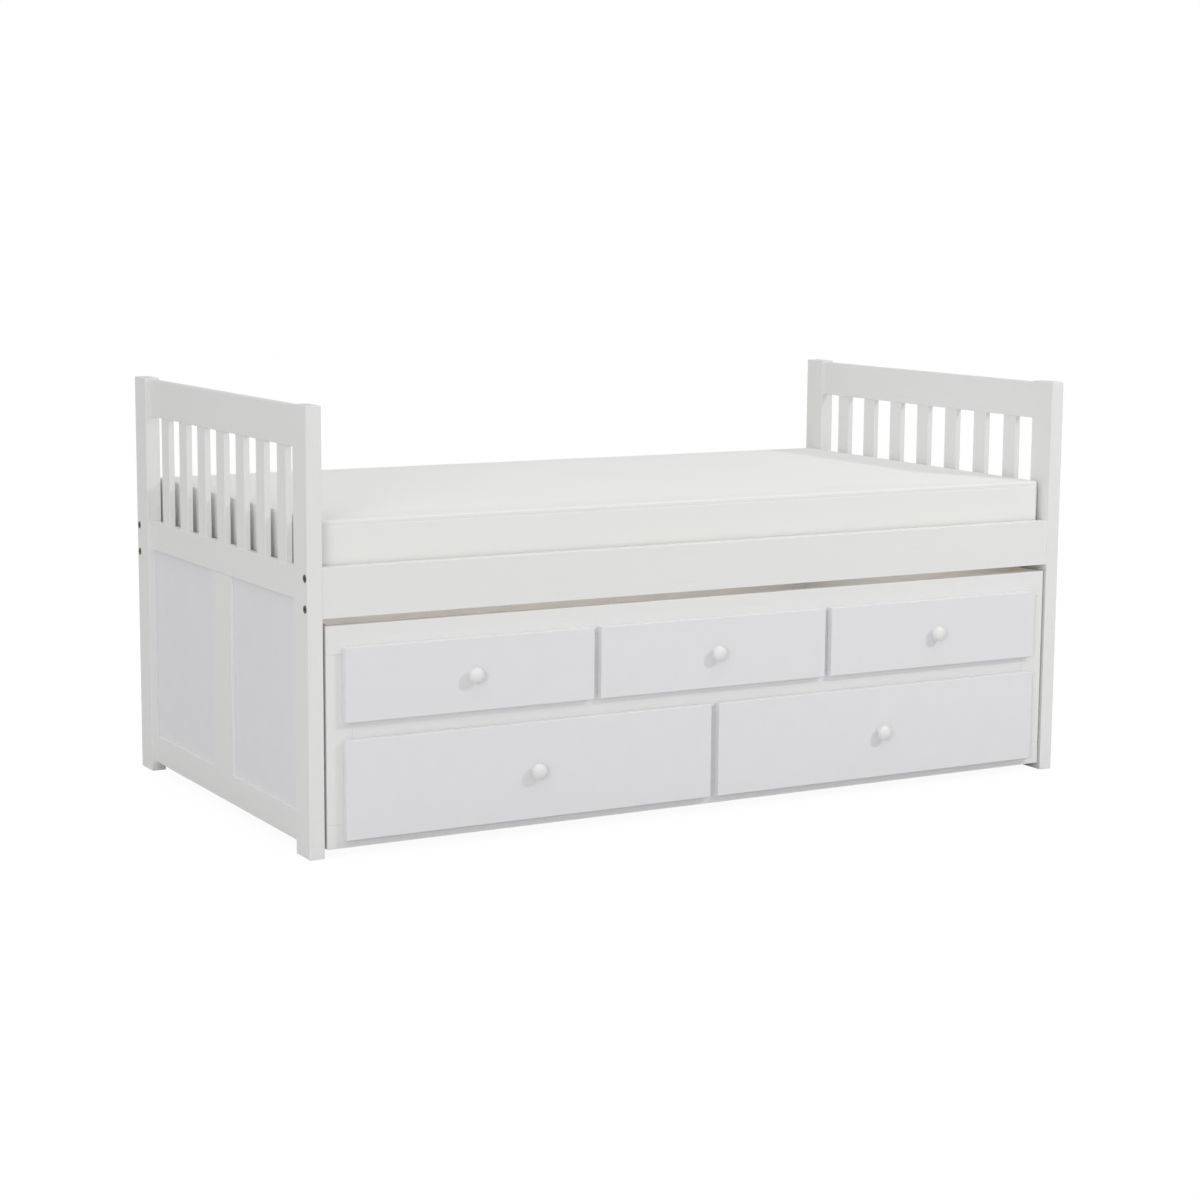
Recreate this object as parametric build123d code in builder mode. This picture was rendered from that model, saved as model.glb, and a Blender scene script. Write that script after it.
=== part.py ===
from build123d import *
import os

# Trundle bed in white-painted wood, in millimetres. Two like end boards carry the side rails and the
# mattress. Under them a unit with its own mattress well and two drawers rolls out on casters.
# Origin: on the floor, at the middle of the whole object. +X runs along the bed from the foot board to
# the head board, +Y from the front to the back, +Z up. The unit rolls out towards -Y.

# Whole bed
bed_length = 2015.0
bed_width = 1080.0
post_height = 974.0

# End boards
post_thickness = 35.0
post_width = 75.0
rail_inset = 12.0  # from a post's outer face to the rails' outer face
rail_thickness = 18.0
top_rail_drop = 4.0  # from the post's top down to the top rail's top
top_rail_height = 89.0
mid_rail_top = 624.0
mid_rail_height = 70.0
bottom_rail_bottom = 22.0
bottom_rail_height = 68.0
center_stile_width = 120.0
spindle_count = 7
spindle_width = 50.0
spindle_thickness = 14.0
panel_thickness = 6.0
panel_recess = 8.0  # from the rails' outer face to the panel
groove_depth = 8.0
tenon_thickness = 8.0
tenon_shoulder = 8.0
rail_tenon_length = 16.0
spindle_tenon_length = 12.0
joint_clearance = 0.2  # round a tenon, a panel's edge or a dowel nut
tenon_end_gap = 1.0
edge_round = 1.5

# Side rails, their bolts and what lies on them
side_rail_bottom = 521.0
side_rail_height = 110.0
side_rail_thickness = 24.0
side_rail_recess = 2.0
stretcher_thickness = 18.0
bolt_pitch = 66.0
bolt_shank = 7.0
bolt_head = 17.0
bolt_head_thickness = 3.0
bolt_head_proud = 0.6
bolt_reach = 55.0  # into the side rail
bolt_socket = 5.0
bolt_socket_depth = 3.0
bolt_hole_clearance = 0.5
nut_diameter = 10.0
nut_length = 16.0
nut_inset = 40.0
ledger_size = 25.0
ledger_end_gap = 5.0
ledger_drop = 12.0  # from the side rail's underside up to the ledger's underside
bed_slat_count = 13
bed_slat_width = 68.0
bed_slat_thickness = 18.0
bed_slat_end_gap = 3.0
mattress_end_gap = 3.0  # to the posts
mattress_side_gap = 3.0  # to the side rails
mattress_thickness = 152.0
mattress_corner = 20.0
mattress_edge = 6.0
mattress_clearance = 0.3

# Face frame of the trundle
frame_side_gap = 7.0  # to the posts
frame_recess = 3.0
frame_thickness = 20.0
frame_bottom = 18.0
frame_top = 505.0
frame_stile = 60.0
frame_top_rail = 63.0
frame_rail_lap = 8.0  # from the bearers' underside up to the bottom rail's top
frame_mid_rail = 60.0
frame_mullion = 50.0

# Drawer fronts, false fronts and knobs
front_thickness = 18.0
front_side_margin = 38.0
front_bottom_margin = 19.0
drawer_front_height = 220.0
false_front_height = 164.0
front_row_gap = 38.0
false_front_gap = 17.0
drawer_front_gap = 20.0
false_front_count = 3
front_round = 2.0
front_air = 0.5  # between a closed drawer's front and the frame
knob_diameter = 36.0
knob_projection = 28.0
knob_foot = 18.0
knob_neck = 14.0
knob_neck_height = 8.12  # from the foot to the narrowest place
knob_rim_height = 16.24  # from the foot to the widest place

# Trundle box
panel_board = 12.0  # side panels and back panel
box_bottom = 30.0
rear_gap = 8.0  # from the back panel to the rear stretcher
divider_thickness = 18.0
deck_height = 293.0
deck_slat_count = 12
deck_slat_width = 70.0
deck_slat_thickness = 15.0
deck_ledger_width = 20.0
deck_ledger_height = 30.0
bearer_width = 100.0
bearer_thickness = 18.0

# Drawers and their slides
drawer_depth = 520.0
drawer_side_height = 145.0
drawer_board = 12.0
drawer_lift = 8.0  # from the bearers' top to the drawer's underside
drawer_bottom_thickness = 6.0
drawer_bottom_raise = 12.0
drawer_groove = 5.0
slide_space = 13.0  # between a drawer's side and its cleat
slide_length = 500.0
slide_height = 36.0
slide_sheet = 1.2
slide_channel_depth = 11.0
slide_air = 0.5
cleat_height = 60.0

# Casters
wheel_diameter = 50.0
wheel_width = 20.0
wheel_tread_round = 3.0
caster_height = 62.0
caster_inset = 120.0  # from the bearer's ends to the axle
axle_diameter = 8.0
axle_clearance = 0.08
cheek_thickness = 2.5
cheek_gap = 2.0  # from the wheel to each cheek
cheek_nose = 11.0
plate_length = 70.0
plate_width = 50.0
rivet_head = 13.0
rivet_head_thickness = 2.0

# Worked out from the sizes above
knob_reach = front_thickness + front_air + knob_projection - frame_recess
front_y = -(bed_width - knob_reach) / 2
back_y = front_y + bed_width
inner_front_y = front_y + post_width
inner_back_y = back_y - post_width
middle_y = (front_y + back_y) / 2
rail_end_x = bed_length / 2 - post_thickness
frame_half = rail_end_x - frame_side_gap
frame_y = (front_y + frame_recess, front_y + frame_recess + frame_thickness)
stretcher_y = (back_y - side_rail_recess - stretcher_thickness, back_y - side_rail_recess)
trundle_back_y = stretcher_y[0] - rear_gap
box_half = frame_half - panel_board
box_y = (frame_y[1], trundle_back_y - panel_board)
stile_edge = frame_half - frame_stile
bearer_z = (caster_height, caster_height + bearer_thickness)
frame_bottom_rail = caster_height + frame_rail_lap - frame_bottom
drawer_front_z = (
    frame_bottom + front_bottom_margin,
    frame_bottom + front_bottom_margin + drawer_front_height,
)
false_front_z = (
    drawer_front_z[1] + front_row_gap,
    drawer_front_z[1] + front_row_gap + false_front_height,
)
frame_mid_z = drawer_front_z[1] + front_row_gap / 2
frame_mid_rail_z = (frame_mid_z - frame_mid_rail / 2, frame_mid_z + frame_mid_rail / 2)
drawer_z = (bearer_z[1] + drawer_lift, bearer_z[1] + drawer_lift + drawer_side_height)
slide_z = (drawer_z[0] + drawer_z[1]) / 2
bed_slat_z = side_rail_bottom + ledger_drop + ledger_size
mattress_z = bed_slat_z + bed_slat_thickness + mattress_clearance
mattress_length = 2 * (rail_end_x - mattress_end_gap)
mattress_width = bed_width - 2 * (side_rail_recess + side_rail_thickness + mattress_side_gap)
board_rails = {
    "top_rail": (post_height - top_rail_drop - top_rail_height, post_height - top_rail_drop),
    "mid_rail": (mid_rail_top - mid_rail_height, mid_rail_top),
    "bottom_rail": (bottom_rail_bottom, bottom_rail_bottom + bottom_rail_height),
}
side_bolt_z = [side_rail_bottom + side_rail_height / 2 + s * bolt_pitch / 2 for s in (-1, 1)]
os.makedirs("parts", exist_ok=True)


def middle(span):
    return (span[0] + span[1]) / 2


def grown(span, by):
    """A span made longer by the same amount at both ends, or shorter when by is negative."""
    return (span[0] - by, span[1] + by)


def around(center, size):
    return (center - size / 2, center + size / 2)


def toward(face, direction, depth):
    """The span that starts at a face and runs depth in a direction, low end first."""
    return tuple(sorted((face, face + direction * depth)))


def block(x, y, z, mode=Mode.ADD):
    """A box between low and high values on each axis, in the part that is being built."""
    with Locations((middle(x), middle(y), middle(z))):
        Box(x[1] - x[0], y[1] - y[0], z[1] - z[0], mode=mode)


def boards(places, radius=0.0):
    """One or more plain boards with eased edges, each given by its X, Y and Z span."""
    with BuildPart() as group:
        for x, y, z in places:
            with BuildSketch(Plane.XY.offset(z[0])):
                with Locations((middle(x), middle(y))):
                    Rectangle(x[1] - x[0], y[1] - y[0])
            extrude(amount=z[1] - z[0])
        if radius:
            fillet(group.edges(), radius)
    return group


def save(group, name):
    group.part.label = name
    export_step(group.part, f"parts/{name}.step")


def board_layer(side, start, thickness):
    """X span of a layer of an end board that starts this far in from the posts' outer face."""
    return toward(side * (bed_length / 2 - start), -side, thickness)


def side_rail_y(end):
    face = front_y if end < 0 else back_y
    return toward(face - end * side_rail_recess, -end, side_rail_thickness)


def tenon_layer(side):
    return board_layer(side, rail_inset + (rail_thickness - tenon_thickness) / 2, tenon_thickness)


def panel_layer(side):
    return board_layer(side, rail_inset + panel_recess, panel_thickness)


# End boards


def make_post(side, end):
    """A post with mortises for three rails, a groove for the panel and two bolt holes."""
    face = front_y if end < 0 else back_y
    inner = face - end * post_width
    outer_x = side * bed_length / 2
    post_y = toward(face, -end, post_width)
    with BuildPart() as post:
        with BuildSketch(Plane.XY):
            with Locations((outer_x - side * post_thickness / 2, middle(post_y))):
                Rectangle(post_thickness, post_width)
        extrude(amount=post_height)
        fillet(post.edges(), edge_round)
        mortise_x = grown(tenon_layer(side), joint_clearance)
        mortise_y = toward(inner, end, rail_tenon_length + tenon_end_gap)
        for rail_z in board_rails.values():
            block(mortise_x, mortise_y, grown(rail_z, joint_clearance - tenon_shoulder), Mode.SUBTRACT)
        groove_x = grown(panel_layer(side), joint_clearance)
        groove_z = (
            board_rails["bottom_rail"][1] - groove_depth,
            board_rails["mid_rail"][0] + groove_depth,
        )
        block(groove_x, toward(inner, end, groove_depth), groove_z, Mode.SUBTRACT)
        for z in side_bolt_z:
            with Locations(
                Plane((outer_x, middle(side_rail_y(end)), z), x_dir=(0, 1, 0), z_dir=(side, 0, 0))
            ):
                CounterBoreHole(
                    bolt_shank / 2 + bolt_hole_clearance,
                    bolt_head / 2 + bolt_hole_clearance,
                    bolt_head_thickness - bolt_head_proud,
                )
    return post


def spindle_centers():
    clear = inner_back_y - inner_front_y - spindle_count * spindle_width
    gap = clear / (spindle_count + 1)
    return [
        inner_front_y + gap + spindle_width / 2 + i * (gap + spindle_width)
        for i in range(spindle_count)
    ]


def make_board_rail(side, name):
    """A rail of an end board, with a tenon into each post and the mortises and grooves it needs."""
    rail_z = board_rails[name]
    rail_x = board_layer(side, rail_inset, rail_thickness)
    mortise_x = grown(tenon_layer(side), joint_clearance)
    groove_x = grown(panel_layer(side), joint_clearance)
    with BuildPart() as rail:
        with BuildSketch(Plane.XY.offset(rail_z[0])):
            with Locations((middle(rail_x), middle_y)):
                Rectangle(rail_thickness, inner_back_y - inner_front_y)
        extrude(amount=rail_z[1] - rail_z[0])
        fillet(rail.edges().filter_by(Axis.Y), edge_round)
        tenon_y = (inner_front_y - rail_tenon_length, inner_back_y + rail_tenon_length)
        block(tenon_layer(side), tenon_y, grown(rail_z, -tenon_shoulder))
        slots = []
        if name != "bottom_rail":
            edge, way = (rail_z[0], 1) if name == "top_rail" else (rail_z[1], -1)
            tenon_width = spindle_width - 2 * tenon_shoulder
            for y in spindle_centers():
                mortise_y = around(y, tenon_width + 2 * joint_clearance)
                slots.append((mortise_y, toward(edge, way, spindle_tenon_length + tenon_end_gap)))
        if name != "top_rail":
            edge, way = (rail_z[0], 1) if name == "mid_rail" else (rail_z[1], -1)
            tenon_width = center_stile_width - 2 * tenon_shoulder
            mortise_y = around(middle_y, tenon_width + 2 * joint_clearance)
            slots.append((mortise_y, toward(edge, way, rail_tenon_length + tenon_end_gap)))
            block(groove_x, (inner_front_y, inner_back_y), toward(edge, way, groove_depth), Mode.SUBTRACT)
        for mortise_y, mortise_z in slots:
            block(mortise_x, mortise_y, mortise_z, Mode.SUBTRACT)
    return rail


def make_center_stile(side):
    """The wide upright below the mid rail, with a tenon at each end and a groove down each side."""
    stile_z = (board_rails["bottom_rail"][1], board_rails["mid_rail"][0])
    stile_x = board_layer(side, rail_inset, rail_thickness)
    stile_y = around(middle_y, center_stile_width)
    with BuildPart() as stile:
        with BuildSketch(Plane.XY.offset(stile_z[0])):
            with Locations((middle(stile_x), middle_y)):
                Rectangle(rail_thickness, center_stile_width)
        extrude(amount=stile_z[1] - stile_z[0])
        fillet(stile.edges().filter_by(Axis.Z), edge_round)
        block(tenon_layer(side), grown(stile_y, -tenon_shoulder), grown(stile_z, rail_tenon_length))
        groove_x = grown(panel_layer(side), joint_clearance)
        groove_z = grown(stile_z, rail_tenon_length)
        for edge, way in ((stile_y[0], 1), (stile_y[1], -1)):
            block(groove_x, toward(edge, way, groove_depth), groove_z, Mode.SUBTRACT)
    return stile


def make_panels(side):
    """Two thin panels that float in the grooves of the rails, the post and the center stile."""
    reach = groove_depth - tenon_end_gap
    stile_y = around(middle_y, center_stile_width)
    panel_z = grown((board_rails["bottom_rail"][1], board_rails["mid_rail"][0]), reach)
    spans = [(inner_front_y, stile_y[0]), (stile_y[1], inner_back_y)]
    return boards([(panel_layer(side), grown(y, reach), panel_z) for y in spans])


def make_spindles(side):
    """The flat uprights between the mid rail and the top rail, tenoned into both."""
    spindle_x = board_layer(side, rail_inset + (rail_thickness - spindle_thickness) / 2, spindle_thickness)
    spindle_z = (board_rails["mid_rail"][1], board_rails["top_rail"][0])
    with BuildPart() as spindles:
        for y in spindle_centers():
            with BuildSketch(Plane.XY.offset(spindle_z[0])):
                with Locations((middle(spindle_x), y)):
                    Rectangle(spindle_thickness, spindle_width)
            extrude(amount=spindle_z[1] - spindle_z[0])
        fillet(spindles.edges().filter_by(Axis.Z), edge_round)
        for y in spindle_centers():
            tenon_y = around(y, spindle_width - 2 * tenon_shoulder)
            block(tenon_layer(side), tenon_y, grown(spindle_z, spindle_tenon_length))
    return spindles


# Side rails, bolts, slats and mattress


def make_side_rail(end):
    """A side rail, bored at each end for two bolts and their cross nuts."""
    rail_y = side_rail_y(end)
    rail_z = (side_rail_bottom, side_rail_bottom + side_rail_height)
    inner_face = rail_y[1] if end < 0 else rail_y[0]
    with BuildPart() as rail:
        with BuildSketch(Plane.XY.offset(rail_z[0])):
            with Locations((0, middle(rail_y))):
                Rectangle(2 * rail_end_x, side_rail_thickness)
        extrude(amount=side_rail_height)
        fillet(rail.edges().filter_by(Axis.X), edge_round)
        for side in (-1, 1):
            for z in side_bolt_z:
                with Locations(
                    Plane((side * rail_end_x, middle(rail_y), z), x_dir=(0, 1, 0), z_dir=(side, 0, 0))
                ):
                    Hole(bolt_shank / 2 + bolt_hole_clearance, bolt_reach + tenon_end_gap)
                nut_x = side * (rail_end_x - nut_inset)
                nut_depth = (side_rail_thickness + nut_length) / 2 + joint_clearance
                with Locations(Plane((nut_x, inner_face, z), x_dir=(1, 0, 0), z_dir=(0, -end, 0))):
                    Hole(nut_diameter / 2 + joint_clearance, nut_depth)
    return rail


def make_bed_bolts():
    """Eight flat-headed bolts with a hexagon socket, through the posts into the side rails."""
    with BuildPart() as bolts:
        for side in (-1, 1):
            outer_x = side * (bed_length / 2 + bolt_head_proud)
            shank_length = post_thickness + bolt_reach + bolt_head_proud
            for end in (-1, 1):
                for z in side_bolt_z:
                    face = Plane(
                        (outer_x, middle(side_rail_y(end)), z), x_dir=(0, 1, 0), z_dir=(-side, 0, 0)
                    )
                    with BuildSketch(face):
                        Circle(bolt_head / 2)
                    extrude(amount=bolt_head_thickness)
                    with BuildSketch(face):
                        Circle(bolt_shank / 2)
                    extrude(amount=shank_length)
                    with BuildSketch(face):
                        RegularPolygon(bolt_socket / 2, 6, major_radius=False)
                    extrude(amount=bolt_socket_depth, mode=Mode.SUBTRACT)
    return bolts


def make_barrel_nuts():
    """Cross nuts in the side rails, each bored for its bolt."""
    with BuildPart() as nuts:
        for side in (-1, 1):
            nut_x = side * (rail_end_x - nut_inset)
            for end in (-1, 1):
                nut_y = middle(side_rail_y(end))
                for z in side_bolt_z:
                    with BuildSketch(Plane.XZ.offset(-(nut_y + nut_length / 2))):
                        with Locations((nut_x, z)):
                            Circle(nut_diameter / 2)
                    extrude(amount=nut_length)
                    with BuildSketch(Plane.YZ.offset(nut_x - nut_diameter)):
                        with Locations((nut_y, z)):
                            Circle(bolt_shank / 2 + joint_clearance)
                    extrude(amount=2 * nut_diameter, mode=Mode.SUBTRACT)
    return nuts


def make_ledgers():
    """Square battens inside the side rails, on which the slats rest."""
    ledger_z = toward(side_rail_bottom + ledger_drop, 1, ledger_size)
    ledger_x = (ledger_end_gap - rail_end_x, rail_end_x - ledger_end_gap)
    front = toward(side_rail_y(-1)[1], 1, ledger_size)
    rear = toward(side_rail_y(1)[0], -1, ledger_size)
    return boards([(ledger_x, y, ledger_z) for y in (front, rear)], edge_round)


def slat_row(count, width, half_length, y, z):
    """Evenly spaced slats across the bed, with the same gap between them and at both ends."""
    gap = (2 * half_length - count * width) / (count + 1)
    starts = [-half_length + gap + i * (width + gap) for i in range(count)]
    return [((start, start + width), y, z) for start in starts]


def make_bed_slats():
    slat_y = grown((side_rail_y(-1)[1], side_rail_y(1)[0]), -bed_slat_end_gap)
    slat_z = toward(bed_slat_z, 1, bed_slat_thickness)
    row = slat_row(bed_slat_count, bed_slat_width, rail_end_x - ledger_end_gap, slat_y, slat_z)
    return boards(row, edge_round)


def make_mattress():
    """The slab of foam that lies between the end boards, on the slats."""
    with BuildPart() as mattress:
        with BuildSketch(Plane.XY.offset(mattress_z)):
            with Locations((0, middle_y)):
                RectangleRounded(mattress_length, mattress_width, mattress_corner)
        extrude(amount=mattress_thickness)
        rims = mattress.faces().sort_by(Axis.Z)
        fillet(rims[0].edges() + rims[-1].edges(), mattress_edge)
    return mattress


# Face frame, fronts and knobs of the trundle


def front_row(count, gap):
    """X spans of a row of equal fronts across the face frame."""
    field = frame_half - front_side_margin
    width = (2 * field - (count - 1) * gap) / count
    starts = [-field + i * (width + gap) for i in range(count)]
    return [(start, start + width) for start in starts]


def make_frame_rails():
    whole = (-frame_half, frame_half)
    inside = (-stile_edge, stile_edge)
    return {
        "trundle_top_rail": (whole, (frame_top - frame_top_rail, frame_top)),
        "trundle_mid_rail": (inside, frame_mid_rail_z),
        "trundle_bottom_rail": (whole, (frame_bottom, frame_bottom + frame_bottom_rail)),
    }


def make_frame_uprights():
    """Two stiles at the ends, and three mullions: one between the drawers and two above."""
    rail_edges = (frame_bottom + frame_bottom_rail, frame_top - frame_top_rail)
    stiles = [
        (toward(side * frame_half, -side, frame_stile), frame_y, rail_edges) for side in (-1, 1)
    ]
    lower = (around(0, frame_stile), frame_y, (rail_edges[0], frame_mid_rail_z[0]))
    row = front_row(false_front_count, false_front_gap)
    upper_z = (frame_mid_rail_z[1], rail_edges[1])
    upper = [
        (around(first[1] + false_front_gap / 2, frame_mullion), frame_y, upper_z) for first in row[:-1]
    ]
    return boards(stiles, edge_round), boards([lower] + upper, edge_round)


def make_knobs(places, back):
    """Turned knobs: a narrow neck and a domed mushroom head. Each place is an X and a Z."""
    foot, neck, head = knob_foot / 2, knob_neck / 2, knob_diameter / 2
    dome = 0.5**0.5  # where a quarter ellipse is half way round
    dome_top = knob_projection - knob_rim_height
    dome_point = (dome * head, knob_rim_height + dome * dome_top)
    with BuildPart() as knobs:
        for x, z in places:
            with BuildSketch(Plane((x, back, z), x_dir=(1, 0, 0), z_dir=(0, 0, -1))):
                with BuildLine():
                    Line((0, 0), (foot, 0))
                    Spline(
                        (foot, 0), (neck, knob_neck_height), (head, knob_rim_height),
                        tangents=((-0.5, 1), (0, 1)),
                    )
                    Spline(
                        (head, knob_rim_height), dome_point, (0, knob_projection),
                        tangents=((0, 1), (-1, 0)),
                    )
                    Line((0, knob_projection), (0, 0))
                make_face()
            revolve(axis=Axis((x, back, z), (0, -1, 0)))
    return knobs


# Trundle box


def make_trundle_boards():
    """The plain boards of the box, by node name."""
    sides = {
        name: (toward(side * frame_half, -side, panel_board), box_y, (box_bottom, frame_top))
        for name, side in (("trundle_side_left", -1), ("trundle_side_right", 1))
    }
    back_y_span = (box_y[1], trundle_back_y)
    ledger_z = toward(deck_height - deck_slat_thickness, -1, deck_ledger_height)
    deck_x = (-box_half, box_half)
    ledger_ys = [toward(box_y[0], 1, deck_ledger_width), toward(box_y[1], -1, deck_ledger_width)]
    slat_z = toward(deck_height, -1, deck_slat_thickness)
    cleat_z = around(slide_z, cleat_height)
    cleat_y = toward(box_y[0], 1, slide_length)
    cleats = []
    bearers = []
    for side in (-1, 1):
        outer = toward(side * box_half, -side, box_half - stile_edge)
        inner = toward(side * divider_thickness / 2, side, (frame_stile - divider_thickness) / 2)
        cleats += [(outer, cleat_y, cleat_z), (inner, cleat_y, cleat_z)]
        bearers.append((toward(side * box_half, -side, bearer_width), box_y, bearer_z))
    return {
        **{name: [place] for name, place in sides.items()},
        "trundle_back": [((-frame_half, frame_half), back_y_span, (box_bottom, frame_top))],
        "trundle_divider": [(around(0, divider_thickness), box_y, (box_bottom, ledger_z[0]))],
        "trundle_ledgers": [(deck_x, y, ledger_z) for y in ledger_ys],
        "trundle_slats": slat_row(deck_slat_count, deck_slat_width, box_half, box_y, slat_z),
        "slide_cleats": cleats,
        "trundle_bearers": bearers,
    }


# Drawers and slides


def drawer_opening(side):
    """X span between the cleats of the left (-1) or right (1) drawer."""
    return tuple(sorted((side * stile_edge, side * frame_stile / 2)))


def slide_section(face, way, half_height, depth):
    """A channel of bent sheet, open on the side that way points to, in the sketch being built."""
    web = toward(face, way, slide_sheet)
    whole = toward(face, way, depth)
    with Locations((middle(web), slide_z)):
        Rectangle(slide_sheet, 2 * half_height)
    for edge in (-1, 1):
        with Locations((middle(whole), slide_z + edge * (half_height - slide_sheet / 2))):
            Rectangle(depth, slide_sheet)


def make_slide_channels():
    """The outer channels, one on each cleat."""
    with BuildPart() as channels:
        for side in (-1, 1):
            opening = drawer_opening(side)
            for face, way in ((opening[0], 1), (opening[1], -1)):
                with BuildSketch(Plane.XZ.offset(-(box_y[0] + slide_length))):
                    slide_section(face, way, slide_height / 2, slide_channel_depth)
                extrude(amount=slide_length)
    return channels


def make_drawer_runners(side):
    """The inner channels, one on each side of a drawer, inside the outer channels."""
    box_x = grown(drawer_opening(side), -slide_space)
    half_height = slide_height / 2 - slide_sheet - slide_air
    depth = slide_space - slide_sheet - slide_air
    with BuildPart() as runners:
        for face, way in ((box_x[0], -1), (box_x[1], 1)):
            with BuildSketch(Plane.XZ.offset(-(box_y[0] + slide_length))):
                slide_section(face, way, half_height, depth)
            extrude(amount=slide_length)
    return runners


def make_drawer(side, front_x):
    """The wooden pieces of one drawer, by the ends of their node names."""
    front_y_span = toward(frame_y[0] - front_air, -1, front_thickness)
    box_x = grown(drawer_opening(side), -slide_space)
    box_front = front_y_span[1]
    box_back = box_front + drawer_depth
    bottom_z = toward(drawer_z[0] + drawer_bottom_raise, 1, drawer_bottom_thickness)
    inside_x = grown(box_x, -drawer_board)
    inside_y = (box_front, box_back - drawer_board)
    tray_x = grown(inside_x, drawer_groove)
    tray_y = grown(inside_y, drawer_groove)
    groove_z = grown(bottom_z, joint_clearance)

    front = boards([(front_x, front_y_span, drawer_front_z)], front_round)
    with front:
        block(tray_x, tray_y, groove_z, Mode.SUBTRACT)
    sides = boards(
        [(x, (box_front, box_back), drawer_z) for x in ((box_x[0], inside_x[0]), (inside_x[1], box_x[1]))]
    )
    with sides:
        block(tray_x, (box_front, box_back), groove_z, Mode.SUBTRACT)
    back = boards([(inside_x, (inside_y[1], box_back), drawer_z)])
    with back:
        block(inside_x, tray_y, groove_z, Mode.SUBTRACT)
    bottom = boards([(grown(tray_x, -joint_clearance), grown(tray_y, -joint_clearance), bottom_z)])
    knob = make_knobs([(middle(front_x), middle(drawer_front_z))], front_y_span[0])
    return {"front": front, "sides": sides, "back": back, "bottom": bottom, "knob": knob}


# Casters


def caster_places():
    """Corner name, X and Y of each caster's wheel."""
    bearer_x = box_half - bearer_width / 2
    rows = (("front", box_y[0] + caster_inset), ("rear", box_y[1] - caster_inset))
    return [
        (f"{row}_{hand}", side * bearer_x, y)
        for row, y in rows
        for hand, side in (("left", -1), ("right", 1))
    ]


def make_caster_brackets():
    """Pressed forks under the bearers: a plate and two cheeks, bored for the axle."""
    wheel_z = wheel_diameter / 2
    cheek_start = wheel_width / 2 + cheek_gap
    with BuildPart() as brackets:
        for name, x, y in caster_places():
            plate_z = toward(caster_height, -1, cheek_thickness)
            block(around(x, plate_width), around(y, plate_length), plate_z)
            for way in (-1, 1):
                cheek_x = toward(x + way * cheek_start, way, cheek_thickness)
                with BuildSketch(Plane.YZ.offset(cheek_x[0])):
                    with BuildLine():
                        top = caster_height - cheek_thickness
                        half = plate_length / 2 - cheek_thickness
                        rear, front = (y + cheek_nose, wheel_z), (y - cheek_nose, wheel_z)
                        Polyline(front, (y - half, top), (y + half, top), rear)
                        ThreePointArc(rear, (y, wheel_z - cheek_nose), front)
                    make_face()
                    with Locations((y, wheel_z)):
                        Circle(axle_diameter / 2 + axle_clearance, mode=Mode.SUBTRACT)
                extrude(amount=cheek_thickness)
    return brackets


def make_caster_axles():
    """Riveted axles with a head outside each cheek."""
    half = wheel_width / 2 + cheek_gap + cheek_thickness
    with BuildPart() as axles:
        for name, x, y in caster_places():
            with BuildSketch(Plane.YZ.offset(x - half)):
                with Locations((y, wheel_diameter / 2)):
                    Circle(axle_diameter / 2)
            extrude(amount=2 * half)
            for start in (x - half - rivet_head_thickness, x + half):
                with BuildSketch(Plane.YZ.offset(start)):
                    with Locations((y, wheel_diameter / 2)):
                        Circle(rivet_head / 2)
                extrude(amount=rivet_head_thickness)
    return axles


def make_caster_wheel(x, y):
    with BuildPart() as wheel:
        with BuildSketch(Plane.YZ.offset(x - wheel_width / 2)):
            with Locations((y, wheel_diameter / 2)):
                Circle(wheel_diameter / 2)
        extrude(amount=wheel_width)
        fillet(wheel.edges(), wheel_tread_round)
        with BuildSketch(Plane.YZ.offset(x - wheel_width / 2)):
            with Locations((y, wheel_diameter / 2)):
                Circle(axle_diameter / 2 + axle_clearance)
        extrude(amount=wheel_width, mode=Mode.SUBTRACT)
    return wheel


# Write every node

for board_name, side in (("foot", -1), ("head", 1)):
    save(make_post(side, -1), f"{board_name}_post_front")
    save(make_post(side, 1), f"{board_name}_post_back")
    for rail_name in board_rails:
        save(make_board_rail(side, rail_name), f"{board_name}_{rail_name}")
    save(make_center_stile(side), f"{board_name}_center_stile")
    save(make_panels(side), f"{board_name}_panels")
    save(make_spindles(side), f"{board_name}_spindles")

save(make_side_rail(-1), "front_side_rail")
save(make_side_rail(1), "rear_side_rail")
stretcher_x = (-rail_end_x, rail_end_x)
save(boards([(stretcher_x, stretcher_y, board_rails["bottom_rail"])], edge_round), "rear_stretcher")
save(make_ledgers(), "slat_ledgers")
save(make_bed_slats(), "bed_slats")
save(make_bed_bolts(), "bed_bolts")
save(make_barrel_nuts(), "barrel_nuts")
save(make_mattress(), "mattress")

for name, (rail_x, rail_z) in make_frame_rails().items():
    save(boards([(rail_x, frame_y, rail_z)], edge_round), name)
stiles, mullions = make_frame_uprights()
save(stiles, "trundle_stiles")
save(mullions, "trundle_mullions")
false_row = front_row(false_front_count, false_front_gap)
false_y = toward(frame_y[0], -1, front_thickness)
for name, front_x in zip(("left", "middle", "right"), false_row):
    save(boards([(front_x, false_y, false_front_z)], front_round), f"false_front_{name}")
false_knob_places = [(middle(x), middle(false_front_z)) for x in false_row]
save(make_knobs(false_knob_places, false_y[0]), "false_front_knobs")
for name, places in make_trundle_boards().items():
    save(boards(places), name)
save(make_slide_channels(), "slide_channels")
save(make_caster_brackets(), "caster_brackets")
save(make_caster_axles(), "caster_axles")

for (name, side), front_x in zip((("left", -1), ("right", 1)), front_row(2, drawer_front_gap)):
    for piece_name, piece in make_drawer(side, front_x).items():
        save(piece, f"{name}_drawer_{piece_name}")
    save(make_drawer_runners(side), f"{name}_drawer_runners")

for name, x, y in caster_places():
    save(make_caster_wheel(x, y), f"wheel_{name}")
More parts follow.
